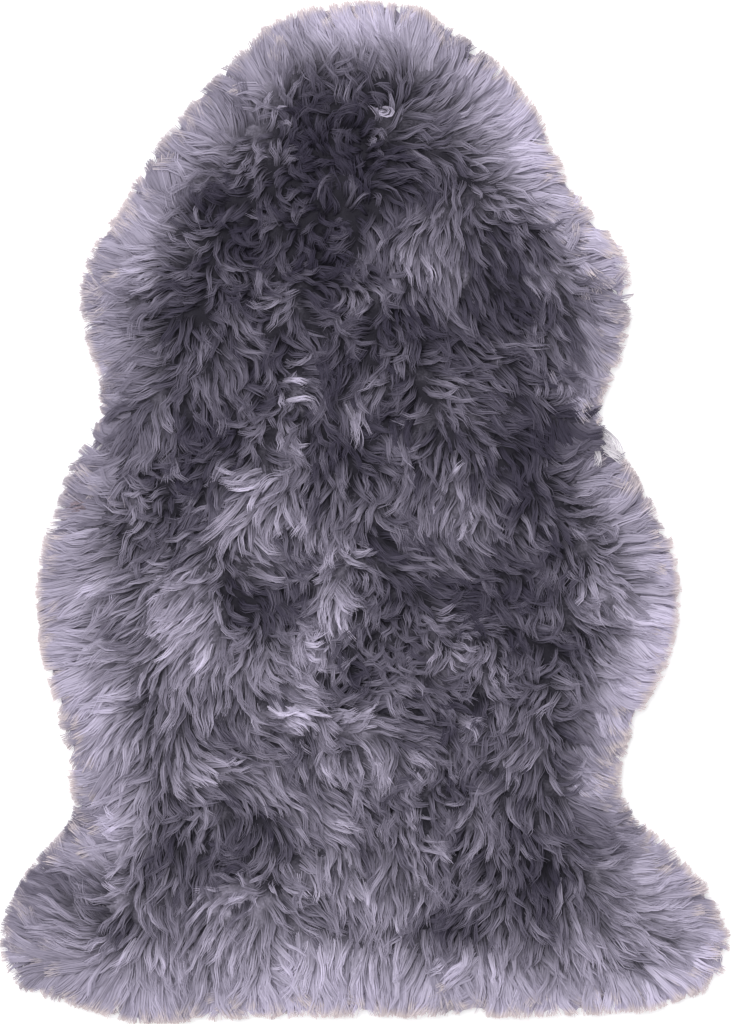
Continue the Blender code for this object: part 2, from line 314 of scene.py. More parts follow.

# How the fleece falls over the skin, in patches that lie the same way, as a hand left them. Across the
# spine and down from the head in millimetres; reach in millimetres; heading in degrees, counter-clockwise
# from the right; tone, -1 dark to 1 pale, its dark values partly painted shade where the wool stands up and
# curls; frizz, 0 combed flat to 1 curled upright.
STROKES = (
    # The head
    (-93, 53, 37, 100, 0.25, 0.1), (-65, 72, 20, 20, -0.4, 1.0), (-50, 24, 30, 97, 0.3, 0.0),
    (-10, 18, 35, 84, 0.6, 0.0), (0, 55, 33, 130, -0.15, 0.3), (28, 34, 28, 105, 0.2, 0.0),
    (72, 60, 30, 87, 0.1, 0.1), (98, 53, 28, 86, 0.1, 0.0), (-130, 113, 35, 128, 0.15, 0.25),
    (-168, 137, 33, 125, 0.2, 0.1), (-28, 100, 35, 100, -0.55, 0.8), (-60, 132, 25, 30, -0.45, 1.0),
    (-33, 146, 30, 200, -0.5, 0.9), (-60, 158, 22, 160, -0.7, 1.0), (-19, 179, 23, 95, -0.2, 0.3),
    (47, 113, 45, 0, -0.3, 0.2), (28, 155, 25, 335, -0.35, 0.3), (107, 113, 37, 25, 0.1, 0.1),
    (135, 146, 37, 355, 0.3, 0.0), (75, 170, 28, 235, -0.15, 0.1),
    # The shoulders
    (-200, 178, 28, 112, 0.3, 0.1), (-186, 220, 28, 165, 0.25, 0.1), (-140, 193, 28, 215, -0.6, 1.0),
    (-102, 197, 33, 245, -0.1, 0.3), (-112, 239, 25, 240, -0.4, 0.9), (-172, 265, 28, 210, -0.1, 0.35),
    (-195, 295, 33, 190, 0.1, 0.2), (-23, 239, 33, 350, -0.5, 1.0), (-33, 276, 25, 300, -0.35, 1.0),
    (5, 267, 28, 250, -0.3, 0.9), (33, 211, 33, 245, 0.1, 0.1), (70, 249, 37, 280, 0.35, 0.0),
    (98, 239, 30, 285, 0.1, 0.0), (89, 300, 30, 303, 0.2, 0.1), (102, 324, 28, 318, 0.0, 0.1),
    (121, 221, 28, 285, 0.0, 0.1), (144, 244, 33, 300, -0.35, 0.3), (168, 249, 22, 290, 0.3, 0.2),
    (140, 291, 33, 310, -0.25, 0.4), (163, 296, 28, 290, -0.1, 0.2), (195, 305, 33, 262, 0.1, 0.1),
    (-79, 283, 18, 350, 0.2, 0.35), (-48, 290, 28, 312, 0.0, 0.2), (-98, 293, 20, 215, 0.05, 0.4),
    (-113, 305, 22, 300, 0.05, 0.3), (-153, 325, 28, 278, 0.0, 0.15), (-128, 345, 28, 308, 0.0, 0.3),
    (-190, 343, 28, 222, 0.05, 0.25),
    # The waist and the middle of the back
    (-194, 392, 26, 303, 0.3, 0.15), (-145, 372, 22, 285, 0.2, 0.15), (-219, 406, 26, 250, -0.3, 0.8),
    (-163, 397, 22, 260, -0.4, 0.9), (-65, 352, 14, 5, 0.8, 0.1), (-55, 367, 15, 358, 0.7, 0.1),
    (5, 343, 25, 245, 0.0, 0.3), (-10, 385, 25, 258, 0.4, 0.15), (5, 406, 22, 348, -0.2, 0.5),
    (23, 430, 22, 280, -0.5, 0.8), (79, 337, 37, 322, -0.1, 0.2), (107, 357, 37, 338, -0.05, 0.15),
    (132, 375, 30, 318, -0.1, 0.15),
    # The straight parting that ends at the right flank
    (165, 362, 12, 85, 0.2, 0.2), (187, 361, 12, 90, 0.4, 0.2), (209, 361, 12, 80, 0.4, 0.2),
    (163, 382, 12, 275, -0.4, 0.5), (185, 382, 12, 270, -0.4, 0.5), (207, 382, 12, 280, -0.4, 0.4),
    # The rest of the waist
    (140, 406, 33, 318, -0.2, 0.3), (191, 384, 28, 275, -0.5, 0.8), (185, 415, 30, 300, -0.55, 0.9),
    (52, 387, 20, 207, 0.0, 0.2), (51, 411, 22, 235, 0.0, 0.1), (95, 411, 22, 303, 0.05, 0.1),
    (118, 406, 22, 305, 0.0, 0.1), (79, 437, 33, 250, 0.15, 0.1), (84, 480, 42, 252, 0.15, 0.05),
    (116, 490, 33, 273, 0.05, 0.1), (-177, 462, 28, 260, -0.5, 0.9), (-126, 430, 18, 195, 0.4, 0.3),
    (-110, 450, 25, 215, 0.7, 0.1), (-130, 478, 25, 235, 0.5, 0.1), (-153, 497, 25, 215, 0.3, 0.1),
    (-107, 505, 16, 300, 0.4, 0.1), (-75, 490, 30, 262, 0.1, 0.3), (-55, 460, 33, 247, 0.1, 0.25),
    (-14, 458, 25, 245, -0.1, 0.35), (12, 455, 25, 258, -0.05, 0.3), (140, 446, 33, 290, -0.3, 0.5),
    (168, 446, 28, 318, -0.3, 0.5), (210, 450, 35, 40, 0.15, 0.15), (235, 462, 30, 42, 0.3, 0.1),
    # The belly
    (-107, 523, 22, 352, 0.15, 0.1), (-88, 545, 22, 318, 0.0, 0.2), (-110, 560, 22, 300, -0.6, 0.7),
    (-272, 475, 32, 185, 0.1, 0.05), (-284, 550, 34, 204, 0.1, 0.05), (-284, 610, 34, 205, 0.1, 0.05),
    (-237, 540, 50, 222, 0.1, 0.1), (-190, 575, 45, 221, 0.4, 0.1), (-165, 560, 30, 214, 0.5, 0.05),
    (-245, 610, 42, 207, 0.2, 0.05), (-163, 632, 37, 266, 0.3, 0.1), (-130, 615, 28, 260, 0.1, 0.2),
    (-100, 635, 25, 308, 0.3, 0.25), (-31, 568, 22, 256, 0.6, 0.1), (-52, 608, 22, 290, 0.4, 0.4),
    (20, 510, 28, 352, -0.1, 0.25), (51, 523, 28, 320, 0.0, 0.2), (74, 555, 28, 342, -0.25, 0.3),
    (98, 567, 24, 352, -0.3, 0.35), (130, 530, 30, 330, -0.4, 0.6), (177, 509, 25, 290, -0.5, 0.8),
    (185, 535, 33, 298, -0.35, 0.5), (186, 570, 28, 284, -0.25, 0.45), (207, 500, 30, 282, -0.1, 0.35),
    (209, 568, 28, 310, -0.1, 0.3), (215, 615, 40, 306, -0.15, 0.25), (246, 470, 26, 48, 0.2, 0.15),
    (272, 510, 28, 5, 0.2, 0.35), (284, 560, 28, 350, 0.2, 0.35), (282, 610, 28, 345, 0.2, 0.15),
    (256, 520, 28, 355, 0.25, 0.3), (250, 560, 30, 345, 0.2, 0.1), (51, 602, 30, 240, -0.1, 0.8),
    (155, 605, 35, 290, -0.2, 0.7),
    # The loins
    (-256, 650, 42, 208, 0.2, 0.05), (-258, 705, 40, 217, 0.2, 0.05), (-232, 725, 42, 236, 0.2, 0.05),
    (-216, 680, 33, 240, -0.05, 0.15), (-160, 662, 35, 266, 0.0, 0.15), (-193, 700, 28, 262, -0.1, 0.2),
    (-158, 712, 33, 352, 0.1, 0.1), (-118, 708, 30, 328, 0.1, 0.1), (-65, 660, 22, 335, 0.5, 0.2),
    (-60, 695, 24, 258, 0.2, 0.2), (-37, 690, 22, 240, 0.0, 0.3), (-33, 718, 18, 295, 0.45, 0.2),
    (-10, 674, 22, 350, 0.4, 0.05), (18, 676, 28, 358, 0.3, 0.05), (56, 676, 22, 0, 0.1, 0.15),
    (-5, 650, 25, 15, -0.15, 0.5), (51, 650, 22, 338, -0.1, 0.4), (0, 702, 18, 330, 0.2, 0.3),
    (12, 718, 20, 265, 0.45, 0.3), (28, 700, 20, 302, 0.1, 0.3), (107, 700, 26, 212, 0.0, 0.2),
    (98, 721, 25, 5, 0.0, 0.2), (140, 690, 37, 236, -0.05, 0.15), (158, 718, 33, 228, 0.0, 0.1),
    (160, 650, 35, 300, -0.2, 0.7), (250, 630, 28, 312, 0.1, 0.05), (235, 665, 28, 292, 0.15, 0.1),
    (205, 700, 30, 310, 0.1, 0.1),
    # The rump and the long stream across it
    (-86, 738, 30, 318, 0.25, 0.05), (-51, 758, 33, 320, 0.2, 0.1), (-20, 778, 33, 314, 0.15, 0.1),
    (8, 800, 33, 294, 0.2, 0.1), (26, 820, 28, 290, 0.2, 0.1), (-196, 775, 22, 255, -0.35, 0.4),
    (-140, 770, 28, 277, -0.2, 0.5), (-107, 772, 26, 274, -0.1, 0.4), (-128, 795, 24, 262, -0.3, 0.6),
    (-40, 790, 24, 268, 0.0, 0.25), (-14, 815, 24, 270, 0.15, 0.2), (-14, 838, 22, 240, 0.1, 0.2),
    (5, 835, 22, 276, 0.2, 0.1), (50, 790, 20, 300, 0.35, 0.4), (51, 835, 24, 262, 0.05, 0.3),
    (70, 750, 24, 255, -0.3, 0.7), (77, 777, 28, 248, 0.0, 0.35), (84, 812, 28, 250, 0.0, 0.35),
    (102, 830, 26, 240, -0.35, 0.5), (118, 775, 30, 275, -0.2, 0.4), (163, 772, 35, 290, -0.25, 0.5),
    (130, 808, 30, 250, -0.3, 0.6), (228, 737, 42, 322, 0.2, 0.05), (219, 783, 42, 325, 0.0, 0.15),
    # The left hind leg
    (-262, 790, 35, 169, 0.15, 0.05), (-256, 816, 33, 125, -0.2, 0.15), (-284, 834, 50, 140, -0.15, 0.1),
    (-298, 874, 42, 162, 0.1, 0.05), (-246, 845, 24, 125, -0.4, 0.2), (-270, 900, 33, 174, 0.1, 0.05),
    (-232, 895, 24, 232, 0.1, 0.1), (-220, 850, 35, 262, -0.1, 0.2), (-194, 800, 35, 280, -0.1, 0.2),
    (-191, 855, 40, 273, 0.0, 0.15), (-191, 900, 40, 270, 0.1, 0.05),
    # The whorl beside it, which fans out towards the rump's edge
    (-149, 833, 23, 197, 0.15, 0.1), (-128, 815, 20, 157, 0.05, 0.15), (-105, 812, 18, 140, 0.0, 0.2),
    (-151, 857, 22, 225, 0.2, 0.05), (-130, 872, 26, 248, 0.2, 0.05), (-107, 868, 24, 268, 0.15, 0.05),
    (-84, 860, 26, 292, 0.05, 0.1), (-58, 855, 26, 313, 0.0, 0.15), (-37, 850, 22, 325, 0.0, 0.15),
    # The rump's edge and the right hind leg
    (-12, 885, 40, 268, 0.3, 0.0), (23, 885, 30, 254, 0.3, 0.05), (51, 890, 28, 254, 0.2, 0.05),
    (118, 867, 28, 252, -0.05, 0.15), (140, 867, 33, 276, -0.05, 0.15), (181, 862, 37, 278, -0.05, 0.15),
    (228, 872, 33, 316, -0.05, 0.15), (265, 816, 42, 352, 0.15, 0.1), (268, 858, 37, 346, 0.0, 0.15),
    (274, 887, 33, 318, 0.0, 0.1), (310, 850, 30, 345, 0.05, 0.1),
)

# Where the fleece is darker or paler than around it: partly the wool's own tone, partly painted shade where
# the wool stands up and where it parts, and painted sheen where it lies flat. Across the spine and down
# from the head, half width and half length, all in millimetres, and the change in tone: -1 makes middle
# grey nearly black, and 1 makes it about as pale as the rim.
PATCHES = (
    # Darker: the head and the shoulders
    (-10, 145, 75, 60, -0.9), (-52, 70, 14, 32, -0.4), (40, 76, 25, 20, -0.4),
    (-67, 142, 18, 24, -1.2), (-45, 232, 24, 38, -0.8), (-135, 205, 34, 38, -0.9),
    (-178, 280, 36, 20, -0.7), (38, 302, 32, 22, -1.3), (-8, 235, 20, 26, -0.5),
    (102, 288, 20, 16, -0.8), (-33, 270, 22, 26, -1.0), (82, 328, 32, 20, -1.2),
    (-38, 334, 16, 18, -0.4), (-112, 306, 12, 16, -0.4), (-118, 242, 18, 16, -1.0),
    (120, 255, 20, 40, -0.4), (-122, 76, 20, 22, -0.3), (-122, 100, 18, 12, -1.0),
    (-200, 152, 14, 12, -0.8), (-158, 132, 20, 18, -0.3), (-238, 256, 14, 26, -0.4),
    (-213, 302, 16, 14, -0.9), (-216, 322, 13, 16, -0.5), (90, 45, 20, 16, -0.4),
    (160, 130, 14, 16, -0.4), (180, 228, 16, 12, -0.8), (72, 218, 14, 12, -0.45),
    (232, 270, 14, 24, -0.3), (55, 268, 16, 14, -0.5), (195, 318, 10, 16, -0.6),
    (138, 262, 26, 52, -1.0), (170, 215, 20, 20, -0.8), (194, 300, 18, 18, -0.8),
    (85, 182, 26, 18, -0.5), (118, 172, 20, 20, -0.4), (-95, 205, 55, 75, -0.35),
    (-45, 42, 16, 16, -0.4), (80, 38, 18, 40, -0.4), (96, 74, 12, 14, -0.3),
    (56, 152, 14, 12, -0.4), (140, 165, 16, 14, -0.4), (192, 316, 14, 18, -0.5),
    # Darker: the waist
    (-75, 336, 40, 16, -1.0), (-92, 362, 14, 16, -0.4), (-178, 366, 16, 34, -0.6),
    (-24, 358, 14, 26, -0.7), (45, 375, 24, 20, -0.7), (-148, 338, 10, 20, -0.4),
    (-215, 388, 18, 28, -1.4), (-140, 460, 18, 14, -0.9), (-57, 475, 13, 10, -1.2),
    (142, 456, 18, 14, -1.1), (100, 474, 24, 8, -0.45), (-24, 414, 18, 20, -1.1),
    (48, 442, 22, 14, -0.7), (185, 398, 22, 14, -1.1), (195, 463, 20, 16, -0.8),
    (-272, 450, 20, 60, -0.4), (-232, 425, 14, 24, -0.4), (-264, 406, 14, 18, -0.5),
    (-155, 398, 20, 16, -0.7), (-132, 426, 14, 12, -0.4), (-120, 413, 36, 18, -0.7),
    (-172, 462, 24, 38, -0.7), (-12, 432, 16, 30, -0.8), (155, 440, 40, 50, -0.8),
    (178, 404, 20, 12, -1.4), (-226, 440, 14, 16, -0.7), (222, 428, 20, 12, -0.4),
    (12, 392, 22, 14, -1.1), (5, 405, 36, 11, -0.6), (84, 419, 16, 14, -0.9),
    (177, 352, 16, 14, -0.9), (-44, 370, 12, 16, -0.9), (184, 372, 36, 5, -1.0),
    (150, 400, 65, 60, -0.4),
    # Darker: the belly
    (-65, 563, 20, 15, -1.7), (0, 512, 16, 14, -0.5), (-238, 582, 22, 10, -0.5),
    (-127, 547, 24, 15, -0.7), (-100, 572, 28, 20, -0.9), (-240, 490, 14, 15, -0.7),
    (-264, 520, 12, 8, -0.4), (40, 514, 34, 16, -0.9), (120, 520, 18, 18, -0.9),
    (276, 484, 14, 14, -0.8), (55, 558, 24, 22, -0.8), (140, 610, 20, 14, -0.8),
    (76, 545, 16, 14, -0.3), (115, 562, 65, 24, -0.8), (182, 508, 26, 26, -0.7),
    (172, 603, 44, 15, -0.8), (232, 578, 20, 20, -0.6), (-18, 624, 22, 22, -0.6),
    (192, 626, 14, 14, -0.7), (-270, 536, 14, 16, -0.8), (-90, 515, 14, 12, -1.0),
    (-216, 524, 14, 12, -0.4), (-174, 518, 14, 16, -0.8), (259, 552, 15, 16, -0.9),
    (206, 538, 20, 12, -0.5), (-220, 636, 14, 12, -0.4),
    # Darker: the loins and the rump
    (-211, 654, 14, 24, -0.9), (-192, 714, 14, 12, -0.5), (98, 667, 20, 12, -1.4),
    (74, 654, 16, 12, -0.6), (34, 660, 14, 14, -0.6), (-128, 678, 30, 18, -0.9),
    (-112, 700, 14, 12, -0.5), (-38, 650, 12, 10, -0.9), (95, 735, 18, 12, -0.7),
    (80, 780, 28, 14, -0.7), (-174, 838, 20, 14, -1.1), (160, 838, 22, 24, -0.7),
    (75, 880, 16, 14, -0.5), (-242, 718, 14, 18, -0.8), (-264, 768, 20, 16, -1.6),
    (-205, 757, 14, 10, -0.6), (-312, 852, 16, 30, -0.5), (230, 790, 30, 20, -0.6),
    (-86, 651, 12, 11, -1.2), (30, 690, 14, 14, -0.5), (-45, 740, 10, 10, -0.5),
    (-180, 785, 24, 38, -0.6), (-88, 768, 24, 20, -0.8), (-125, 792, 20, 20, -1.2),
    (6, 799, 14, 15, -0.8), (90, 795, 9, 9, -0.6), (168, 785, 44, 42, -0.65),
    (212, 760, 18, 14, -0.7), (62, 756, 24, 10, -0.45), (165, 825, 20, 9, -0.6),
    (85, 862, 34, 18, -0.8), (170, 860, 26, 16, -0.6), (-280, 827, 28, 14, -1.3),
    (-334, 848, 14, 20, -0.7), (-296, 896, 18, 18, -0.4), (-256, 850, 18, 10, -0.3),
    (-228, 870, 14, 14, -1.0), (-115, 880, 8, 9, -0.6), (-30, 845, 15, 6, -0.5),
    (278, 902, 12, 9, -0.2), (-262, 672, 14, 16, -0.4), (198, 685, 20, 14, -0.7),
    (105, 738, 16, 12, -0.5), (245, 848, 40, 12, -0.6), (245, 908, 26, 12, -0.7),
    (188, 920, 14, 12, -0.4), (-60, 928, 30, 10, -0.35), (-150, 926, 26, 12, -0.4),
    (170, 885, 16, 20, -0.4), (-215, 928, 30, 10, -0.4), (94, 928, 20, 12, -1.2),
    # Paler: the head and the shoulders
    (140, 326, 14, 14, 0.5), (-5, 22, 70, 18, 0.6), (50, 58, 20, 22, 0.4),
    (105, 118, 26, 16, 0.7), (-210, 252, 16, 18, 0.8), (-234, 230, 14, 12, 0.5),
    (160, 178, 18, 14, 0.5), (188, 255, 16, 12, 0.6), (220, 300, 12, 20, 0.4),
    (-98, 132, 15, 38, 1.6), (-69, 96, 13, 16, 1.0), (16, 78, 16, 12, 0.6),
    (22, 130, 22, 12, 0.4), (-90, 210, 14, 18, 1.0), (34, 112, 30, 16, 0.5),
    (110, 72, 22, 18, 0.5), (100, 192, 24, 14, 0.4), (-175, 228, 24, 12, 0.4),
    (166, 264, 18, 12, 0.7), (0, 30, 24, 18, 0.6), (195, 203, 18, 16, 0.9),
    (238, 250, 14, 16, 0.7), (-132, 168, 18, 16, 1.1), (-62, 264, 12, 20, 0.6),
    (2, 292, 12, 18, 0.5), (65, 104, 22, 14, 0.4), (120, 200, 18, 14, 0.3),
    (80, 58, 16, 30, 0.6), (142, 135, 30, 55, 0.9), (208, 224, 24, 22, 0.4),
    (50, 228, 36, 24, 0.5), (80, 181, 20, 12, 0.9), (130, 194, 14, 10, 0.5),
    (59, 246, 9, 9, 0.7), (87, 261, 12, 22, 0.7), (153, 268, 14, 16, 0.4),
    (160, 254, 12, 8, 0.7), (125, 190, 20, 9, 0.6), (-72, 286, 12, 9, 0.5),
    # Paler: the waist
    (120, 406, 20, 14, 0.5), (180, 438, 16, 14, 0.8), (-65, 352, 12, 6, 1.2),
    (-60, 370, 14, 8, 1.2), (-10, 385, 9, 16, 1.1), (-140, 370, 8, 15, 0.7),
    (-246, 342, 10, 24, 0.5), (-195, 395, 9, 22, 0.9), (98, 367, 18, 12, 0.8),
    (-81, 427, 17, 19, 1.2), (60, 390, 14, 18, 0.8), (-8, 368, 12, 10, 0.4),
    (38, 345, 18, 10, 0.35), (10, 474, 14, 16, 0.5), (214, 372, 14, 14, 0.9),
    (-110, 460, 20, 16, 1.4), (-190, 440, 10, 16, 0.5), (220, 366, 10, 14, 0.8),
    (88, 437, 8, 8, 1.0), (85, 478, 42, 28, 0.35), (222, 460, 20, 28, 0.6),
    (-242, 364, 14, 16, 0.9), (188, 382, 16, 10, 0.6), (222, 370, 10, 14, 0.7),
    # Paler: the belly
    (26, 545, 18, 14, 0.6), (90, 506, 24, 10, 0.6), (198, 514, 14, 12, 0.6),
    (146, 492, 16, 10, 0.5), (-112, 530, 20, 24, 0.7), (203, 576, 18, 14, 0.9),
    (286, 598, 14, 30, 1.3), (280, 524, 14, 18, 0.7), (-130, 634, 36, 12, 0.6),
    (-82, 484, 24, 14, 1.3), (-62, 508, 14, 12, 0.6), (-213, 489, 14, 12, 0.8),
    (-88, 594, 16, 10, 0.6), (-136, 491, 22, 14, 1.0), (-190, 530, 15, 14, 0.6),
    (-176, 578, 25, 20, 1.2), (-152, 545, 26, 12, 0.8), (-150, 612, 20, 26, 0.5),
    (-58, 598, 12, 14, 0.5), (-31, 563, 15, 18, 1.3), (-60, 620, 15, 24, 1.6),
    (-155, 615, 10, 18, 0.8), (-195, 624, 22, 25, 0.5), (-100, 625, 18, 12, 0.7),
    (226, 545, 15, 10, 0.8), (76, 585, 18, 12, 1.1), (68, 626, 16, 18, 1.1),
    (112, 640, 14, 14, 0.5), (-22, 524, 16, 12, 1.5), (-255, 535, 24, 45, 0.8),
    (-250, 635, 22, 34, 0.8), (232, 556, 22, 16, 1.3), (-248, 554, 16, 14, 1.0),
    (-180, 570, 30, 34, 0.5), (245, 640, 24, 22, 0.7), (272, 592, 18, 48, 0.5),
    (258, 590, 20, 45, 0.3), (252, 572, 16, 14, 0.6), (212, 502, 12, 12, 0.6),
    # Paler: the loins and the rump
    (-242, 890, 16, 10, 0.4), (-208, 692, 16, 22, 0.5), (66, 725, 14, 14, 0.6),
    (-308, 822, 16, 14, 0.5), (-272, 888, 16, 14, 0.4), (-234, 663, 14, 14, 0.8),
    (-172, 680, 14, 14, 0.45), (-266, 725, 16, 12, 0.9), (-178, 739, 20, 12, 0.9),
    (-70, 765, 12, 20, 0.5), (0, 856, 16, 14, 0.5), (-70, 671, 28, 14, 2.2),
    (-8, 680, 16, 16, 1.5), (-170, 726, 14, 12, 0.4), (-66, 752, 12, 14, 0.6),
    (-24, 806, 16, 14, 1.0), (30, 816, 14, 12, 0.5), (0, 671, 42, 6, 0.6),
    (-40, 719, 14, 14, 1.8), (-44, 828, 16, 12, 0.5), (16, 715, 14, 22, 0.8),
    (-158, 718, 34, 12, 1.3), (-85, 726, 12, 15, 0.4), (-30, 770, 26, 9, 0.6),
    (-60, 815, 15, 12, 0.7), (-20, 835, 15, 8, 0.8), (60, 795, 8, 10, 0.9),
    (185, 802, 18, 10, 0.5), (20, 862, 15, 22, 0.4), (-132, 880, 22, 20, 0.6),
    (-232, 690, 16, 85, 0.5), (-226, 768, 16, 16, 1.3), (242, 668, 24, 16, 0.4),
    (226, 716, 26, 18, 0.5), (236, 750, 18, 14, 0.9), (200, 731, 16, 12, 0.4),
    (268, 850, 40, 26, 0.5), (215, 882, 20, 20, 0.7), (303, 914, 26, 16, 1.5),
    (326, 873, 18, 16, 0.8), (-124, 841, 31, 17, 2.0), (267, 785, 18, 16, 1.0),
    (290, 928, 60, 14, 1.4), (262, 832, 22, 14, 0.4), (300, 815, 18, 16, 0.4),
    (262, 884, 16, 10, 0.4), (205, 892, 16, 12, 0.6), (250, 872, 30, 14, 0.5),
    (-60, 890, 110, 18, 0.6), (-52, 898, 22, 14, 1.4), (-156, 856, 20, 12, 0.5),
    (102, 852, 14, 14, 0.5), (96, 768, 12, 8, 0.5), (8, 906, 30, 16, 0.6),
    (109, 909, 20, 12, 1.3), (-205, 898, 20, 12, 0.4), (5, 850, 14, 24, 0.9),
    (-236, 835, 22, 13, 1.2), (-212, 846, 14, 14, 0.6), (-226, 780, 20, 16, 1.4),
    (-200, 792, 16, 12, 0.5), (-256, 808, 18, 14, 0.4), (190, 795, 14, 12, 0.3),
    (265, 856, 22, 16, 0.8), (-212, 894, 24, 14, 0.9), (-280, 865, 30, 12, 0.6),
    (0, 935, 320, 16, 0.8),
)

COMBED_BAND = 62 * MM  # how far in from the rim the wool is combed outwards
# The rim's paleness, between RIM_PALE_START and RIM_PALE_END, is painted sheen on the flat combed wool
RIM_TONE = 1.12
RIM_PALE_START = 24 * MM  # how far in the rim's full paleness reaches
RIM_PALE_END = 78 * MM  # and where it has gone
RIM_UNEVENNESS = 15 * MM
DARKER_HEAD = -0.45  # how much darker the inner wool gets with each metre towards the head
DARKEST, PALEST = -1.2, 1.9
READ_SCALE = 1.018  # the readings are from above, where the raised wool looks this much further out
PARTING_STEP = 6 * MM
CLEAR_OF_HIDE = 0.2 * MM

head_end = np.array([0.0, outline[:, 1].max()])  # where the readings start


def smooth(share):
    share = np.clip(share, 0, 1)
    return share * share * (3 - 2 * share)


def soft_noise(places, size, seed):
    """Smooth unevenness between -1 and 1 with lumps of about the size given."""
    return np.array([noise.noise(Vector((x / size, y / size, seed))) for x, y in places])


def nearness(places, across, down, wide, long):
    """1 at a reading's middle, falling softly to nought beyond its half width and half length."""
    middle = head_end + np.array([across, -down]) * MM
    away = (READ_SCALE * places - middle) / (np.array([wide, long]) * MM)
    return np.exp(-(away**2).sum(1))


def tone_at(places):
    """How dark or pale the wool is that is seen at each place: its own mottled tone, painted sheen at the
    rim and the patches, which are partly painted shade and sheen.
    """
    insets = nearest_on(outline, places)[1] * np.where(inside(outline, places), 1, -1)
    insets += RIM_UNEVENNESS * soft_noise(places, 32 * MM, 12.7)
    # Painted sheen: the combed wool at the rim is paler
    pale = smooth((RIM_PALE_END - insets) / (RIM_PALE_END - RIM_PALE_START))
    mottle = 0.7 * soft_noise(places, 30 * MM, 21.3) + 0.8 * soft_noise(places, 13 * MM, 5.9)
    tone = RIM_TONE * pale + mottle * (1 - 0.65 * pale)
    tone += DARKER_HEAD * places[:, 1] * (1 - pale)
    for across, down, wide, long, own_tone in PATCHES:
        tone += own_tone * nearness(places, across, down, wide, long)
    tone += 0.7 * smooth(2 - insets / (8 * MM)) * np.maximum(1 - tone, 0)
    return np.clip(tone, DARKEST, PALEST)


def comb_at(places):
    """Which way the wool lies at each place, its own tone and frizz there, and the share of the rim."""
    spots, insets = nearest_on(outline, places)
    comb = np.zeros_like(places)
    tone = np.zeros(len(places))
    frizz = np.zeros(len(places))
    weight = np.zeros(len(places))
    for across, down, reach, heading, own_tone, own_frizz in STROKES:
        share = nearness(places, across, down, reach, reach)
        angle = math.radians(heading)
        comb += share[:, None] * np.array([math.cos(angle), math.sin(angle)])
        tone += share * own_tone
        frizz += share * own_frizz
        weight += share
    unread = np.clip(1 - weight, 0, 1)  # where no stroke reaches, it lies back a little and curls
    comb += unread[:, None] * np.array([0.0, -0.4])
    frizz += unread * 0.8
    weight = np.maximum(weight, 1)
    rim = smooth(1 - (insets - 0.3 * COMBED_BAND) / COMBED_BAND)
    comb = comb * (1 - 0.55 * rim)[:, None] + unit(spots - places) * rim[:, None] * 0.7
    return unit(comb), tone / weight, frizz / weight, rim


def keep_on(mesh, name, values):
    """Stores a number or an arrow at each of a mesh's points."""
    kind, key = ("FLOAT", "value") if values.ndim == 1 else ("FLOAT_VECTOR", "vector")
    store = mesh.attributes.new(name, kind, "POINT")
    store.data.foreach_set(key, values.astype(np.float32).ravel())


def undercoat_material():
    """Shaded wool: as pale or dark as the locks above it, less a painted shade, streaked as matted fibres
    are.
    """
    material, bench, shader = new_material("shaded_wool", 0.95)
    place = bench.put("ShaderNodeTexCoord", out="Object")
    fibres = bench.put("ShaderNodeTexNoise", {"Vector": place, "Scale": 420.0, "Detail": 4.0})
    tone = bench.put("ShaderNodeAttribute", out="Fac", attribute_name="tone")
    # Painted shade: at the same tone the undercoat is darker than the locks, as it lies deep in the fleece
    share = fibres * 0.36 + (tone * TONE_STEP + (MIDDLE_GREY - 0.4))
    dyed = bench.mix(bench.maths("MAXIMUM", share, 0.0) ** 2.0, SHADED_DARK, PALE_WOOL)
    bench.feed(shader, "Base Color", dyed)
    bump = bench.put("ShaderNodeBump", {"Height": fibres, "Distance": 1.0 * MM})
    bench.feed(shader, "Normal", bump)
    return material


undercoat_edge = drawn_in(outline, UNDERCOAT_INSET)
undercoat_places, undercoat_faces = flat_patch(undercoat_edge, UNDERCOAT_STEP, UNDERCOAT_STEP / 2)
rim_spots, rim_insets = nearest_on(outline, undercoat_places)
risen = np.clip((rim_insets - UNDERCOAT_INSET) / UNDERCOAT_ROLL, 0, 1)
undercoat_top = UNDERCOAT_RIM + (UNDERCOAT_HEIGHT - UNDERCOAT_RIM) * np.sqrt(1 - (1 - risen) ** 2)
for lump, seed in ((26 * MM, 3.1), (9 * MM, 8.4)):
    undercoat_top += risen * TUFT_RELIEF * soft_noise(undercoat_places, lump, seed)
base_places, base_faces = flat_patch(undercoat_edge, 5 * UNDERCOAT_STEP, 2 * UNDERCOAT_STEP)
undercoat = closed_slab(
    "undercoat",
    len(undercoat_edge),
    (undercoat_places, undercoat_faces, undercoat_top),
    (base_places, base_faces, [HIDE_THICKNESS + CLEAR_OF_HIDE] * len(base_places)),
)

# Where the wool lies away from a place on all sides, it stands up and curls, so that no skin shows
comb, stroke_tone, frizz, rim = comb_at(undercoat_places)
parting = np.zeros(len(comb))
for axis, step in enumerate(np.eye(2) * PARTING_STEP):
    parting += (comb_at(undercoat_places + step)[0] - comb_at(undercoat_places - step)[0])[:, axis]
frizz = np.clip(frizz * (1 - 0.7 * rim) + 1.1 * np.clip(parting - 0.25, 0, 1), 0, 1.2)

# The undercoat is paler under the rim and the silky wool, so the gaps there show less painted shade
silkiness = np.clip(1 - 2.5 * frizz, 0, 1)
top_tones = tone_at(undercoat_places) + 0.4 * rim + 0.4 * silkiness
keep_on(undercoat.data, "tone", np.concatenate([top_tones, tone_at(base_places)]))
undercoat.data.materials.append(undercoat_material())
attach(undercoat, "root")

# --- The locks ----------------------------------------------------------------------------------------
# The fleece's visible half: long silky locks of fifteen hairs or more, which grow out of the undercoat,
# lean the way the wool lies there and draw together in a wavy point. Each hair is a thin tapered ribbon.

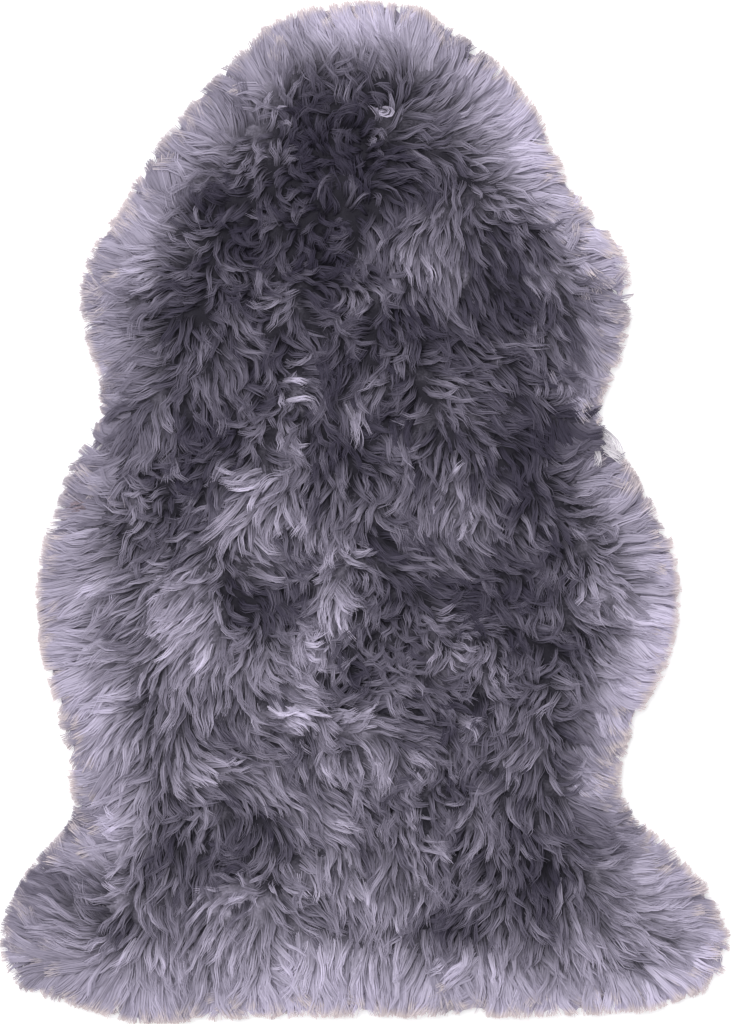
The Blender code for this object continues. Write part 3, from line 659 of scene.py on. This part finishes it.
UP = (0.0, 0.0, 1.0)
LEVEL = (1.0, 1.0, 0.0)
MAP_STRIP = 0.018  # how much of the map's width one hair takes
FLOW_STEP = 24 * MM  # how far on a hair looks for how the lie of the wool turns along it
SHARPEST_TURN = 1.4
TIP_AHEAD = 18 * MM  # a lock has the tone of this place ahead of its root, where its end is seen
STROKE_TONE = 0.35  # how much of a stroke's own tone its locks take on
FAR_OFF = 1.0  # metres, where the outline isn't met at all
MOST_POINTS = 60000.0  # on a square metre, before those that stand too near are left out
LOOSE_SHARE = 0.22  # of the locks stand up a little out of their tuft
ROOT_LEAN, TIP_LEAN = 1.12, 1.78  # from upright, in radians, of calm wool away from the rim
ROOT_DEPTH = 0.001
SHORTEST_HAIR = 0.004
LOWEST_HAIR = 0.0018  # above the floor
# The dark end of the wool's ramp, used for dark wool and for the painted shade where the wool stands up and
# parts
DARK_WOOL_AND_SHADE = (0.038, 0.032, 0.056, 1)
BEIGE_TIP = (0.74, 0.64, 0.63, 1)

# What the tree that grows the locks is given, in metres where it is a size
LOCK_SIZES = {
    "Lock spacing": 0.0056,
    "Lock radius": 0.0042,
    "Tuft spacing": 0.0145,
    "Tuft depth": 0.006,  # how much deeper a tuft's outer locks are rooted
    "Tuft pull": 0.45,  # how far a lock's end moves in to the middle of its tuft
    "Hair length": 0.034,
    "Hair width": 0.00076,
    "Crimp": 0.055,  # how high a wave is, as a share of the hair's length
    "Waves": 1.25,  # from root to tip
    "Swirl": 1.2,  # how far, in radians, a patch of curled wool turns aside
    "Swirl size": 0.032,
    "Gather": 0.62,  # how far a lock's hairs draw together at its end
    "From": -1.0,  # the zone's ends along the spine
    "To": 1.0,
    "Rim from": -1.0,  # and how far in from the outline it begins and ends
    "Rim to": 2.0,
}
LOCK_COUNTS = {"Hairs in a lock": 15, "Points in a hair": 5, "Seed": 7}
# The combed wool at the rim: more and broader hairs in each lock, which barely draw together
SILKY = {
    "Points in a hair": 4,
    "Hairs in a lock": 23,
    "Gather": 0.2,
    "Crimp": 0.04,
    "Hair width": 0.0008,
    "Lock radius": 0.005,
}


def way_to_outline(places, headings):
    """How far each place is from the outline in the direction in which its wool lies."""
    starts = outline - places[:, None]
    runs = np.roll(outline, -1, axis=0) - outline
    turn = headings[:, None, 0] * runs[:, 1] - headings[:, None, 1] * runs[:, 0]
    turn = np.where(abs(turn) < 1e-9, 1e-9, turn)
    far = (starts[..., 0] * runs[:, 1] - starts[..., 1] * runs[:, 0]) / turn
    share = (starts[..., 0] * headings[:, None, 1] - starts[..., 1] * headings[:, None, 0]) / turn
    return np.where((share >= 0) & (share <= 1) & (far > 0), far, FAR_OFF).min(1)


def guide_patch():
    """The undercoat's upper face alone, carrying what the locks need to know at each place."""
    onward = comb_at(undercoat_places + comb * FLOW_STEP)[0]
    flow = np.arctan2(comb[:, 0] * onward[:, 1] - comb[:, 1] * onward[:, 0], (comb * onward).sum(1))
    seen = undercoat_places + comb * np.minimum(0.6 * rim_insets, TIP_AHEAD)[:, None]
    known = {
        "tone": STROKE_TONE * stroke_tone + tone_at(seen),
        "frizz": frizz,
        "rim": rim,
        "inset": rim_insets,
        "flow": np.clip(flow, -SHARPEST_TURN, SHARPEST_TURN),
        "room": way_to_outline(undercoat_places, comb),
        "comb": np.pad(comb, ((0, 0), (0, 1))),
        "outward": np.pad((rim_spots - undercoat_places) / rim_insets[:, None], ((0, 0), (0, 1))),
    }
    data = bpy.data.meshes.new("lie_of_wool")
    points = np.column_stack([undercoat_places, undercoat_top])
    data.from_pydata(points.tolist(), [], [list(face) for face in undercoat_faces])
    if sum(p.normal.z for p in data.polygons) < 0:
        data.flip_normals()
    for name, values in known.items():
        keep_on(data, name, values)
    return data, list(known)


class LockBench(Bench):
    """A bench with the few steps that growing locks repeats."""

    def __init__(self, tree):
        super().__init__(tree)
        self.given = self.handed_in()
        self.place = self.put("GeometryNodeInputPosition")
        self.kept = []

    def number(self, name, kind="FLOAT"):
        """What each point knows under this name."""
        return self.put("GeometryNodeInputNamedAttribute", {"Name": name}, data_type=kind)

    def numbers(self, names):
        return [self.number(name) for name in names.split()]

    def arrow(self, name):
        return self.number(name, "FLOAT_VECTOR")

    def keep(self, geometry, kind=None, domain="POINT", **values):
        """Stores each value under its name."""
        for name, value in values.items():
            self.kept.append(name)
            feeds = {"Geometry": geometry, "Name": name, "Value": value}
            own_kind = kind or ("FLOAT_VECTOR" if is_arrow(value) else "FLOAT")
            geometry = self.put("GeometryNodeStoreNamedAttribute", feeds, data_type=own_kind, domain=domain)
        return geometry

    def chance(self, low, high, salt):
        """A random number for each point."""
        feeds = {"Min": low, "Max": high, "Seed": self.given["Seed"] + salt}
        return self.put("FunctionNodeRandomValue", feeds, data_type="FLOAT")

    def drift(self, size, seed):
        """Noise about nought, mostly from -1 to 1, which changes slowly over the skin."""
        feeds = {"Vector": self.place + (0.0, 0.0, seed * 1.7), "Scale": 1.0 / size, "Detail": 1.0}
        return self.put("ShaderNodeTexNoise", feeds) * 4.0 - 2.0

    def sine(self, angle):
        return self.maths("SINE", angle)

    def cosine(self, angle):
        return self.maths("COSINE", angle)

    def turned(self, arrow, angle):
        feeds = {"Vector": arrow, "Angle": angle}
        return self.put("ShaderNodeVectorRotate", feeds, rotation_type="Z_AXIS")

    def spread(self, gap, salt):
        """Points spread evenly over the skin, no nearer to each other than the gap."""
        skin, seed = self.given["Geometry"], self.given["Seed"] + salt
        feeds = {"Mesh": skin, "Distance Min": gap, "Density Max": MOST_POINTS, "Seed": seed}
        return self.put("GeometryNodeDistributePointsOnFaces", feeds, distribute_method="POISSON")


def lock_roots(bench):
    """Each lock's root, between two stations of the spine and two insets, and how the lock lies."""
    given, place = bench.given, bench.place
    frizz, rim, inset = bench.numbers("frizz rim inset")
    station = bench.parts(place)[1]
    beyond = bench.maths("GREATER_THAN", station, given["To"])
    short = bench.maths("LESS_THAN", station, given["From"])
    near = bench.maths("LESS_THAN", inset, given["Rim from"])
    deep = bench.maths("GREATER_THAN", inset, given["Rim to"])
    feeds = {"Geometry": bench.spread(given["Lock spacing"], 0), "Selection": beyond + short + near + deep}
    roots = bench.put("GeometryNodeDeleteGeometry", feeds)

    # The tufts that the locks belong to: each gives its locks a common turn, curl, wave and tint
    tufts = bench.spread(given["Tuft spacing"], 40)
    nearest = bench.put("GeometryNodeSampleNearest", {"Geometry": tufts, "Sample Position": place})

    def of_tuft(value, kind="FLOAT"):
        feeds = {"Geometry": tufts, "Value": value, "Index": nearest}
        return bench.put("GeometryNodeSampleIndex", feeds, data_type=kind)

    def tuft_chance(salt):
        return of_tuft(bench.chance(-1.0, 1.0, salt))

    inward = (of_tuft(place, "FLOAT_VECTOR") - place) * LEVEL
    afar = bench.maths("LENGTH", inward) / given["Tuft spacing"]
    clumped = bench.maths("MINIMUM", frizz, 0.5) * 1.3 + 0.35
    sunk = afar * afar * given["Tuft depth"] * clumped

    # Combed wool lies as its place says, and curled wool turns aside and bends along its length
    swirl = tuft_chance(51) * 0.9 + bench.drift(given["Swirl size"], 1.0) * given["Swirl"]
    way = bench.turned(bench.arrow("comb"), (swirl + bench.chance(-0.25, 0.25, 11)) * (frizz * 0.85 + 0.16))
    bend = tuft_chance(52) * 1.3 + bench.drift(0.026, 5.0) * 1.2 + bench.chance(-0.4, 0.4, 12)
    bend = bend * (frizz * 1.2 + 0.3) + bench.number("flow")

    # How far a hair may reach before it passes the outline
    facing = bench.maths("DOT_PRODUCT", bench.turned(way, bend * 0.5), bench.arrow("outward"))
    limit = bench.maths("MINIMUM", bench.number("room"), inset / bench.maths("MAXIMUM", facing, 0.35))

    loose = bench.maths("GREATER_THAN", bench.chance(0.0, 1.0, 17), 1.0 - LOOSE_SHARE) * (1.0 - rim)
    patchy = tuft_chance(55) * 0.28 + bench.drift(0.016, 9.0) * 0.2 + bench.chance(-0.1, 0.1, 14)
    span = given["Hair length"] * bench.chance(0.85, 1.12, 15) * (rim * 0.5 + 1.0) * (frizz * -0.32 + 1.02)
    return bench.keep(
        roots,
        inward=inward,
        clumped=clumped,
        sunk=sunk,
        way=way,
        bend=bend,
        limit=limit,
        phase=tuft_chance(53) + bench.chance(0.0, 0.2, 13),
        slack=tuft_chance(54),
        loose=loose,
        shade=loose * 0.1 + bench.number("tone") + patchy * (rim * -0.8 + 1.0),
        span=span,
    )


def lock_hairs(bench, roots):
    """The hairs of each lock, set round its middle, still short and straight."""
    feeds = {"Geometry": roots, "Amount": bench.given["Hairs in a lock"]}
    hairs = bench.put("GeometryNodeDuplicateElements", feeds, domain="POINT")
    angle = bench.chance(0.0, math.tau, 21)
    out = bench.maths("SQRT", bench.chance(0.0, 1.0, 22)) * bench.given["Lock radius"]
    hairs = bench.keep(
        hairs,
        aside=bench.joined(out * bench.cosine(angle), out * bench.sine(angle)),
        root=bench.place,
        vary=bench.chance(-1.0, 1.0, 23),
        differ=bench.chance(-1.0, 1.0, 24),
    )
    blank = bench.put("GeometryNodeCurvePrimitiveLine", {"End": (0.0, 0.0, 0.01)})
    feeds = {"Curve": blank, "Count": bench.given["Points in a hair"]}
    blank = bench.put("GeometryNodeResampleCurve", feeds)
    curves = bench.put("GeometryNodeInstanceOnPoints", {"Points": hairs, "Instance": blank})
    curves = bench.put("GeometryNodeRealizeInstances", {0: curves})
    return bench.keep(curves, along=bench.put("GeometryNodeSplineParameter"))


def hair_paths(bench, curves):
    """Each hair leans over evenly from root to tip, waves, curls and draws in to its lock and its tuft."""
    along, vary, differ, loose, frizz, rim = bench.numbers("along vary differ loose frizz rim")
    way, aside = bench.arrow("way"), bench.arrow("aside")

    # No hair is so long that it passes the outline by more than a little
    length = bench.number("span") * (vary * (rim * -0.07 + 0.13) + 1.0)
    limit = bench.number("limit") * 1.04 + bench.maths("DOT_PRODUCT", aside, way) * -0.8
    limit = limit + (differ * 0.0015 + 0.001)
    length = bench.maths("MINIMUM", length, bench.maths("MAXIMUM", limit, SHORTEST_HAIR))

    # It leans more and more from its root to its tip, so its path is part of a circle
    root_lean = rim * 0.32 + ROOT_LEAN - (frizz * 0.5 + loose * 0.35) + bench.number("slack") * 0.12
    tip_lean = rim * 0.4 + TIP_LEAN - frizz * 0.35 + differ * 0.1
    lean_over = tip_lean - root_lean
    lean = lean_over * along + root_lean
    forth = (bench.cosine(root_lean) - bench.cosine(lean)) / lean_over
    rise = (bench.sine(lean) - bench.sine(root_lean)) / lean_over

    # It waves, strays and bends sideways more and more towards its tip
    cycle = (along * bench.given["Waves"] + bench.number("phase") + differ * 0.06) * math.tau
    wavy = along * (bench.given["Crimp"] * (frizz + 1.0))
    stray = along * along * (differ * (frizz * 0.08 + 0.05))
    curl = (vary * frizz * 0.15 + bench.number("bend")) * along + 0.0001
    sideways = forth * ((1.0 - bench.cosine(curl)) / curl) + (bench.sine(cycle) * wavy + stray)
    forth = forth * (bench.sine(curl) / curl)

    # It draws in to the middle of its lock and of its tuft, and stays above the floor
    drawn = 1.0 - along * (loose * 0.15 + bench.given["Gather"])
    pulled = bench.number("clumped") * bench.given["Tuft pull"] * (rim * -0.8 + 1.0) * along
    path = bench.arrow("root") + aside * drawn + bench.arrow("inward") * pulled
    path = path + way * (forth * length) + bench.maths("CROSS_PRODUCT", UP, way) * (sideways * length)
    x, y, skin = bench.parts(path)
    height = skin + ((rise + bench.cosine(cycle) * wavy) * length - ROOT_DEPTH - bench.number("sunk"))
    height = bench.maths("MAXIMUM", height, vary * 0.0008 + LOWEST_HAIR)
    feeds = {"Geometry": curves, "Position": bench.joined(x, y, height)}
    return bench.put("GeometryNodeSetPosition", feeds)


def hair_ribbons(bench, curves):
    """A ribbon along each path, turned a little and tapered, and on the map at its own shade."""
    along, vary, differ, frizz, rim = bench.numbers("along vary differ frizz rim")
    curves = bench.put("GeometryNodeSetCurveNormal", {"Curve": curves}, mode="Z_UP")
    tilt = differ * (rim * -0.2 + 0.3)
    curves = bench.put("GeometryNodeSetCurveTilt", {"Curve": curves, "Tilt": tilt})
    taper = 1.0 - along**2.5 * (rim * -0.3 + 0.85)
    size = bench.given["Hair width"] * 0.5 * (vary * 0.3 + 1.0) * taper
    flat = bench.put("GeometryNodeCurvePrimitiveLine", {"Start": (-1.0, 0.0, 0.0), "End": (1.0, 0.0, 0.0)})
    flat = bench.keep(flat, across=bench.put("GeometryNodeSplineParameter"))
    ribbons = bench.put("GeometryNodeCurveToMesh", {"Curve": curves, "Profile Curve": flat, "Scale": size})
    ribbons = bench.put("GeometryNodeSetShadeSmooth", {0: ribbons})

    # Each hair differs a little in tone, and a few carry a painted glint that makes them much paler than
    # the rest
    own = (frizz * -0.08 + 0.13) * (rim * -0.9 + 1.0)
    shade = vary * own + (bench.number("shade") * TONE_STEP + MIDDLE_GREY)
    painted_glint = bench.maths("ABSOLUTE", differ) ** 8.0 * 0.4 * bench.maths("MINIMUM", frizz + 0.15, 0.7)
    shade = bench.put("ShaderNodeClamp", {"Value": painted_glint * shade + shade, "Min": 0.01, "Max": 0.97})
    spot = bench.joined(bench.number("across") * MAP_STRIP + shade, along)
    return bench.keep(ribbons, "FLOAT2", "CORNER", OFBake=spot)


def new_sockets(tree, kind, names, out=False):
    """Sockets on a tree's outside, with a value for each where the names come with values."""
    for name in names:
        socket = tree.interface.new_socket(name, in_out="OUTPUT" if out else "INPUT", socket_type=kind)
        if isinstance(names, dict):
            socket.default_value = names[name]


def lock_tree(known):
    """The tree that grows locks of ribbons on a skin that knows how its wool lies."""
    tree = bpy.data.node_groups.new("grow_locks", "GeometryNodeTree")
    new_sockets(tree, "NodeSocketGeometry", ["Geometry"])
    new_sockets(tree, "NodeSocketFloat", LOCK_SIZES)
    new_sockets(tree, "NodeSocketInt", LOCK_COUNTS)
    new_sockets(tree, "NodeSocketMaterial", ["Material"])
    new_sockets(tree, "NodeSocketGeometry", ["Geometry"], out=True)
    bench = LockBench(tree)
    wool = hair_ribbons(bench, hair_paths(bench, lock_hairs(bench, lock_roots(bench))))
    for name in known + bench.kept:
        if name != "OFBake":
            wool = bench.put("GeometryNodeRemoveAttribute", {"Geometry": wool, "Name": name})
    wool = bench.put("GeometryNodeRealizeInstances", {0: wool})
    wool = bench.put("GeometryNodeSetMaterial", {"Geometry": wool, "Material": bench.given["Material"]})
    bench.node("NodeGroupOutput", {"Geometry": wool})
    return tree


def hair_shading():
    """Wool colour as a node group: painted shade darkens the root, deep in the fleece, the tip is paler,
    and finer streaks run across it.
    """
    tree = bpy.data.node_groups.new("hair_shading", "ShaderNodeTree")
    new_sockets(tree, "NodeSocketVector", ["Map"])
    new_sockets(tree, "NodeSocketColor", ["Dark", "Pale", "Tip"])
    new_sockets(tree, "NodeSocketFloat", ["Root light", "Tip share", "Streaks"])
    new_sockets(tree, "NodeSocketColor", ["Colour"], out=True)
    bench = Bench(tree)
    given = bench.handed_in()
    tone, along, _ = bench.parts(given["Map"])
    stretched = bench.joined(tone * 160.0, along * 1.5)
    streaks = bench.put("ShaderNodeTexNoise", {"Vector": stretched, "Scale": 1.0, "Detail": 2.0})
    share = bench.maths("MAXIMUM", tone + (streaks - 0.5) * given["Streaks"], 0.0) ** 2.0
    body = bench.mix(share, given["Dark"], given["Pale"])
    # Painted shade: the hair darkens towards its root, less where its tone is pale; Root light is how light
    # the root stays
    feeds = {"Value": along, "From Max": 0.72}
    risen = bench.put("ShaderNodeMapRange", feeds, interpolation_type="SMOOTHSTEP")
    light = bench.maths("MAXIMUM", risen, tone * 0.7) * (1.0 - given["Root light"]) + given["Root light"]
    shaded = bench.mix(light, (0.0, 0.0, 0.0, 1.0), body)
    feeds = {"Value": along, "From Min": 0.75, "From Max": 1.0}
    end = bench.put("ShaderNodeMapRange", feeds, interpolation_type="SMOOTHSTEP")
    fair = bench.put("ShaderNodeMapRange", {"Value": tone, "From Min": 0.5, "From Max": 0.75})
    tipped = bench.mix(end * fair * given["Tip share"], shaded, given["Tip"])
    bench.node("NodeGroupOutput", {"Colour": tipped})
    return tree


def wool_material(name, dark, pale, tip, root_light, tip_share, streaks):
    """Dyed wool that reads its shade, painted shade and sheen included, and how far along the hair it is,
    from the ribbons' own map.
    """
    material, bench, shader = new_material(name, 0.65)
    feeds = {
        "Map": bench.put("ShaderNodeUVMap", uv_map="OFBake"),
        "Dark": dark,
        "Pale": pale,
        "Tip": tip,
        "Root light": root_light,
        "Tip share": tip_share,
        "Streaks": streaks,
    }
    bench.feed(shader, "Base Color", bench.put("ShaderNodeGroup", feeds, node_tree=hair_group))
    shader.inputs["Specular IOR Level"].default_value = 0.2
    return material


def grow(name, start, end, rim_from, rim_to, material, changes):
    """Runs the tree over one zone of the skin and makes its hairs a plain mesh."""
    stand = into_scene("growing", guide)
    modifier = stand.modifiers.new("locks", "NODES")
    modifier.node_group = locks
    wanted = {"From": start, "To": end, "Rim from": rim_from, "Rim to": rim_to, "Material": material}
    wanted |= changes
    for item in locks.interface.items_tree:
        if item.in_out == "INPUT" and item.name in wanted:
            modifier[item.identifier] = wanted[item.name]
    bpy.context.view_layer.update()
    grown = stand.evaluated_get(bpy.context.evaluated_depsgraph_get())
    data = bpy.data.meshes.new_from_object(grown)
    data.name = name
    bpy.data.objects.remove(stand)
    return into_scene(name, data)


guide, known = guide_patch()
locks = lock_tree(known)
hair_group = hair_shading()
inner_look = {"root_light": 0.22, "tip_share": 0.12, "streaks": 0.18}
inner_wool = wool_material("grey_wool", DARK_WOOL_AND_SHADE, PALE_WOOL, PALE_WOOL, **inner_look)
rim_look = {"root_light": 0.8, "tip_share": 0.9, "streaks": 0.06}
rim_wool = wool_material("rim_wool", DARK_WOOL_AND_SHADE, PALE_WOOL, BEIGE_TIP, **rim_look)

# Each zone's ends along the spine from the middle, and from how far in to how far in its locks are rooted
RIM_DEPTH = 52 * MM
ZONES = (
    ("rim_front", 0.0, 1.0, 0.0, RIM_DEPTH, rim_wool, SILKY),
    ("rim_back", -1.0, 0.0, 0.0, RIM_DEPTH, rim_wool, SILKY),
    ("wool_head", 0.22, 1.0, RIM_DEPTH, 1.0, inner_wool, {}),
    ("wool_shoulders", 0.07, 0.22, RIM_DEPTH, 1.0, inner_wool, {}),
    ("wool_waist", -0.08, 0.07, RIM_DEPTH, 1.0, inner_wool, {}),
    ("wool_belly", -0.245, -0.08, RIM_DEPTH, 1.0, inner_wool, {}),
    ("wool_rump", -1.0, -0.245, RIM_DEPTH, 1.0, inner_wool, {}),
)
for zone in ZONES:
    piece = grow(*zone)
    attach(piece, "root")
    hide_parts("sheepskin")

# --- The odd locks ------------------------------------------------------------------------------------
# Single locks that lie on top of the others: pale S-curved ones down the back and a small loop near the
# head, made pale by painted highlight; a tuft at the right flank that took no dye; and a browned one at the
# left edge. Each is one bunch of hair.

LAID_POINTS = 10
LAID_WIDTH = 0.4 * MM  # half a hair's width at its root
LAID_WAVE = 0.7 * MM
LAID_ROUNDING = 4 * MM  # how much lower a lock's outermost hairs lie
CREAM, CREAM_TIP = (0.50, 0.47, 0.53, 1), (0.86, 0.82, 0.86, 1)
BROWNED_DARK, BROWNED_PALE = (0.16, 0.12, 0.15, 1), (0.46, 0.37, 0.43, 1)

# Each lock's width, number of hairs, tone, lift, and places from root to tip, across the spine and down
# from the head. Sizes are in millimetres.
# The pale locks' high tones are painted highlight, the light that wisps lying on top of the fleece catch
PALE_LOCKS = (
    (9, 16, 1.5, 14, ((-97, 436), (-110, 440), (-121, 446), (-129, 454))),
    (9, 18, 1.5, 13, ((-108, 452), (-116, 465), (-124, 478), (-136, 490), (-153, 504))),
    (8, 14, 1.3, 12, ((-116, 458), (-127, 472), (-138, 484), (-154, 496))),
    (8, 16, 1.5, 15, ((-74, 447), (-84, 440), (-96, 446), (-104, 458))),
    (9, 18, 1.2, 14, ((-84, 474), (-90, 488), (-95, 502), (-92, 514))),
    (12, 24, 1.2, 13, ((-20, 372), (-13, 386), (-6, 404), (-8, 416))),
    (17, 34, 1.5, 14, ((-29, 540), (-37, 552), (-42, 568), (-38, 586))),
    (11, 22, 1.4, 14, ((-48, 588), (-61, 594), (-67, 610), (-58, 628))),
    (10, 20, 1.2, 13, ((-92, 604), (-97, 620), (-103, 634), (-100, 646))),
    (5, 10, 1.6, 16, ((78, 446), (85, 435), (92, 428))),
    (6, 12, 2.1, 16, ((-78, 353), (-67, 350), (-54, 355))),
    (6, 12, 1.9, 16, ((-76, 373), (-63, 368), (-48, 369))),
    (8, 16, 1.4, 14, ((52, 232), (57, 243), (64, 252), (63, 262))),
    (12, 24, 1.3, 13, ((-158, 538), (-166, 556), (-178, 574), (-196, 588))),
    (10, 20, 1.3, 13, ((-30, 700), (-38, 712), (-36, 728), (-28, 740))),
    (10, 20, 1.2, 13, ((16, 700), (20, 714), (14, 730), (16, 744))),
    (3, 8, 1.9, 18, ((10, 97), (17, 94), (25, 97), (28, 103), (23, 107), (15, 106), (12, 102), (20, 101))),
    # The ends of the locks that meet the straight parting
    (12, 16, 0.6, 18, ((158, 352), (163, 360), (161, 370))),
    (12, 16, 0.9, 19, ((180, 350), (184, 359), (181, 369))),
    (12, 16, 1.0, 19, ((193, 349), (192, 359), (197, 369))),
    (12, 16, 1.1, 19, ((203, 348), (208, 358), (206, 369))),
    (12, 16, 1.2, 18, ((213, 350), (219, 358), (219, 368))),
)
UNDYED_TUFT = (
    (16, 32, 1.5, 19, ((218, 398), (228, 402), (237, 411), (241, 424))),
    (14, 28, 1.5, 20, ((219, 405), (225, 415), (233, 423), (243, 427))),
    (9, 16, 1.2, 18, ((216, 414), (220, 423), (217, 433))),
)
BROWNED_LOCK = ((13, 18, 1.3, 17, ((-258, 466), (-267, 469), (-277, 471), (-284, 471))),)


def even_path(corners):
    """A smooth path through given places, as evenly spaced points and the directions to their left."""
    path = (head_end + np.array(corners) * (MM, -MM)) / READ_SCALE
    for _ in range(3):
        cut = np.concatenate([0.75 * path[:-1] + 0.25 * path[1:], 0.25 * path[:-1] + 0.75 * path[1:]], 1)
        path = np.concatenate([path[:1], cut.reshape(-1, 2), path[-1:]])
    travel = np.concatenate([[0], np.cumsum(np.linalg.norm(np.diff(path, axis=0), axis=1))])
    stops = np.linspace(0, travel[-1], LAID_POINTS)
    points = np.stack([np.interp(stops, travel, path[:, axis]) for axis in (0, 1)], 1)
    return points, to_the_left(unit(np.gradient(points, axis=0)))


def lay_locks(name, locks_laid, material):
    """One piece of laid locks: a ribbon for each hair, side by side along its lock's path."""
    random = np.random.default_rng(len(name))
    along = np.linspace(0, 1, LAID_POINTS)
    width = LAID_WIDTH * (1 - 0.85 * along**2.5)
    verts, faces, spots = [], [], []
    for wide, hairs, tone, lift, corners in locks_laid:
        points, left = even_path(corners)
        ground = [undercoat_top[np.linalg.norm(undercoat_places - p, axis=1).argmin()] for p in points]
        rise = lift * MM * np.sin(math.pi * 0.65 * along)
        for _ in range(hairs):
            off, early = random.uniform(-1, 1), random.uniform(0.65, 1.05)
            shift = off * wide / 2 * MM * (1 - 0.45 * along)
            shift += LAID_WAVE * along * np.sin(math.tau * (1.4 * along + random.uniform(0, 0.4)))
            shift += random.normal(0, 0.17) * wide * MM * along**2
            middle = points + left * shift[:, None]
            middle = points[0] + (middle - points[0]) * early
            height = np.array(ground) + rise - LAID_ROUNDING * off**2 + random.uniform(-1.5, 1) * MM
            shade = MIDDLE_GREY + TONE_STEP * tone + random.uniform(-0.16, 0.06)
            first = len(verts)
            for side in (1, -1):
                edge = middle + left * (side * width)[:, None]
                verts += np.column_stack([edge, height]).tolist()
            for i in range(LAID_POINTS - 1):
                near = first + i
                faces.append((near + LAID_POINTS, near + LAID_POINTS + 1, near + 1, near))
                low, high = along[i], along[i + 1]
                far = shade + MAP_STRIP
                spots += [(shade, low), (shade, high), (far, high), (far, low)]
    data = bpy.data.meshes.new(name)
    data.from_pydata(verts, [], faces)
    data.shade_smooth()
    chart = data.uv_layers.new(name="OFBake")
    chart.data.foreach_set("uv", np.array(spots, dtype=np.float32).ravel())
    data.materials.append(material)
    return into_scene(name, data)


odd_look = {"tip_share": 0.5, "streaks": 0.2}
cream_wool = wool_material("undyed_wool", CREAM, CREAM_TIP, CREAM_TIP, root_light=0.4, **odd_look)
browned_colours = (BROWNED_DARK, BROWNED_PALE, BROWNED_PALE)
browned_wool = wool_material("browned_wool", *browned_colours, root_light=0.6, **odd_look)
for name, locks_laid, material in (
    ("pale_locks", PALE_LOCKS, inner_wool),
    ("undyed_tuft", UNDYED_TUFT, cream_wool),
    ("browned_lock", BROWNED_LOCK, browned_wool),
):
    piece = lay_locks(name, locks_laid, material)
    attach(piece, "root")
    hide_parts("sheepskin")

flat_size = (hide_edge.max(0) - hide_edge.min(0)).tolist()
hide_area = abs(area_within(hide_edge))

# --- The stage ----------------------------------------------------------------------------------------
# A pale, even floor under one large soft lamp, in a white studio. The camera hangs straight above and takes
# in the same frame as the photo. None of it belongs to the rug.

PHOTO_HEIGHT = 1024  # pixels
RUG_IN_PHOTO = 1018  # pixels from the head's tip to the rump's lowest edge
LENS, SENSOR = 100.0, 36.0
VIEW_HEIGHT = 0.95 * PHOTO_HEIGHT / RUG_IN_PHOTO
FLOOR_HALF = 30
FLOOR_GAP = 0.3 * MM

corners = [(x * FLOOR_HALF, y * FLOOR_HALF, 0) for x, y in ((-1, -1), (1, -1), (1, 1), (-1, 1))]
floor_mesh = bpy.data.meshes.new("floor")
floor_mesh.from_pydata(corners, [], [(0, 1, 2, 3)])
floor = into_scene("floor", floor_mesh)
floor_material, _, floor_shader = new_material("pale_floor", 0.9)
floor_shader.inputs["Base Color"].default_value = (0.93, 0.93, 0.93, 1)
floor_shader.inputs["Emission Color"].default_value = (1, 1, 1, 1)
floor_shader.inputs["Emission Strength"].default_value = 0.3
floor_mesh.materials.append(floor_material)
floor.location.z = -FLOOR_GAP

camera_data = bpy.data.cameras.new("camera")
camera_data.lens = LENS
camera_data.sensor_width = SENSOR
camera = into_scene("camera", camera_data)
camera.location = (0, 0, VIEW_HEIGHT * LENS / SENSOR)
bpy.context.scene.camera = camera

lamp_data = bpy.data.lights.new("softbox", "AREA")
lamp_data.shape = "DISK"
lamp_data.size = 2.2
lamp_data.energy = 75
lamp = into_scene("softbox", lamp_data)
lamp.location = (-0.7, 0.9, 3.2)
lamp.rotation_euler = Vector(lamp.location).to_track_quat("Z", "Y").to_euler()

world = bpy.data.worlds.new("studio")
world.use_nodes = True
world.node_tree.nodes["Background"].inputs["Color"].default_value = (1, 1, 1, 1)
world.node_tree.nodes["Background"].inputs["Strength"].default_value = 0.75
bpy.context.scene.world = world
bpy.context.scene.view_settings.view_transform = "Standard"
